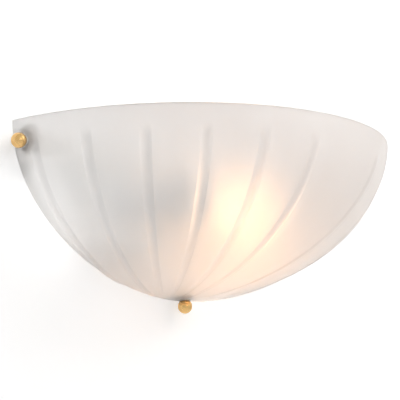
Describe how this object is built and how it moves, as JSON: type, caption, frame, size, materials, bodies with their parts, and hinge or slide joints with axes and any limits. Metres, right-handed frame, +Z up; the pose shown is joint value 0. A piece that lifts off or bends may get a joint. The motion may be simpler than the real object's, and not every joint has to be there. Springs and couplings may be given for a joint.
{
  "type": "wall sconce",
  "caption": "Half-bowl wall sconce: ribbed frosted glass shade held to a steel backplate by brass ball screws, with one screw-in lamp lying along the wall.",
  "frame": {"origin": "middle of the wall bar's two fixing slots, on the wall", "axes": "+X along the wall to the right as seen from the room, -Y out into the room, +Z up"},
  "size_m": [0.3768, 0.1905, 0.1421],
  "materials": {
    "frosted_glass": "acid-frosted pressed glass, satin",
    "white_enamel": "baked white enamel, semi-gloss",
    "zinc_steel": "bright zinc plate",
    "polished_brass": "polished and lacquered",
    "grey_silicone": "matt",
    "white_nylon": "satin",
    "porcelain": "glazed white porcelain",
    "shell_brass": "bare stamped brass",
    "bulb_white_glass": "inside-frosted lamp glass",
    "bulb_clear_glass": "clear stem glass",
    "cap_aluminium": "bright rolled",
    "black_vitrite": "black vitreous",
    "solder": "dull solder",
    "tungsten": "drawn wire",
    "black_sleeve": "satin insulation",
    "white_sleeve": "satin insulation",
    "green_sleeve": "satin insulation",
    "grey_polyamide": "satin",
    "green_screw": "green passivated steel",
    "tinned_copper": "tin plate"
  },
  "bodies": {
    "fixture": {"glass_shade": "frosted_glass", "inner_washers": "grey_silicone", "ear_nuts": "zinc_steel", "ear_rivets": "white_enamel", "left_ear": "white_enamel", "bottom_ear": "white_enamel", "right_ear": "white_enamel", "backplate": "white_enamel", "wall_bar": "zinc_steel", "pan_studs": "zinc_steel", "stud_nuts": "zinc_steel", "thumb_nuts": "shell_brass", "holder_body": "porcelain", "holder_shell": "shell_brass", "holder_tongue": "shell_brass", "holder_bracket": "zinc_steel", "holder_screws": "zinc_steel", "terminal_screws": "shell_brass", "bracket_screws": "zinc_steel", "bracket_nuts": "zinc_steel", "live_wire": "black_sleeve", "neutral_wire": "white_sleeve", "grommet": "black_sleeve", "connectors": "grey_polyamide", "earth_screws": "green_screw", "earth_lugs": "tinned_copper", "earth_wire": "green_sleeve"},
    "left_washer_body": {"left_outer_washer": "white_nylon"},
    "left_screw_body": {"left_ball": "polished_brass", "left_screw": "zinc_steel"},
    "bottom_washer_body": {"bottom_outer_washer": "white_nylon"},
    "bottom_screw_body": {"bottom_ball": "polished_brass", "bottom_screw": "zinc_steel"},
    "right_washer_body": {"right_outer_washer": "white_nylon"},
    "right_screw_body": {"right_ball": "polished_brass", "right_screw": "zinc_steel"},
    "bulb_tip_body": {"bulb_tip": "solder"},
    "bulb_body": {"bulb_glass": "bulb_white_glass", "bulb_cap": "cap_aluminium", "bulb_insulator": "black_vitrite", "bulb_stem": "bulb_clear_glass", "bulb_filament": "tungsten"}
  },
  "joints": [
    {"name": "left_screw_travel", "type": "slide", "parent": "fixture", "child": "left_washer_body", "axis": [-0.9696, -0.1177, -0.2146], "range_m": [0, 0.0062]},
    {"name": "left_screw_turn", "type": "hinge", "parent": "left_washer_body", "child": "left_screw_body", "pos_m": [-0.1763, -0.014, 0.032], "axis": [-0.9696, -0.1177, -0.2146], "range_deg": [0, 2790]},
    {"name": "bottom_screw_travel", "type": "slide", "parent": "fixture", "child": "bottom_washer_body", "axis": [0, -0.0898, -0.996], "range_m": [0, 0.0062]},
    {"name": "bottom_screw_turn", "type": "hinge", "parent": "bottom_washer_body", "child": "bottom_screw_body", "pos_m": [0, -0.011, -0.07986], "axis": [0, -0.0898, -0.996], "range_deg": [0, 2790]},
    {"name": "right_screw_travel", "type": "slide", "parent": "fixture", "child": "right_washer_body", "axis": [0.9696, -0.1177, -0.2146], "range_m": [0, 0.0062]},
    {"name": "right_screw_turn", "type": "hinge", "parent": "right_washer_body", "child": "right_screw_body", "pos_m": [0.1763, -0.014, 0.032], "axis": [0.9696, -0.1177, -0.2146], "range_deg": [0, 2790]},
    {"name": "bulb_travel", "type": "slide", "parent": "fixture", "child": "bulb_tip_body", "axis": [1, 0, 0], "range_m": [0, 0.01452]},
    {"name": "bulb_turn", "type": "hinge", "parent": "bulb_tip_body", "child": "bulb_body", "pos_m": [-0.056, -0.066, -0.006], "axis": [1, 0, 0], "range_deg": [0, 1439.5]}
  ],
  "couplings": [
    {"joint": "left_screw_turn", "follows": "left_screw_travel", "rad_per_m": 7854},
    {"joint": "bottom_screw_turn", "follows": "bottom_screw_travel", "rad_per_m": 7854},
    {"joint": "right_screw_turn", "follows": "right_screw_travel", "rad_per_m": 7854},
    {"joint": "bulb_travel", "follows": "bulb_turn", "m_per_rad": 0.00057773}
  ]
}
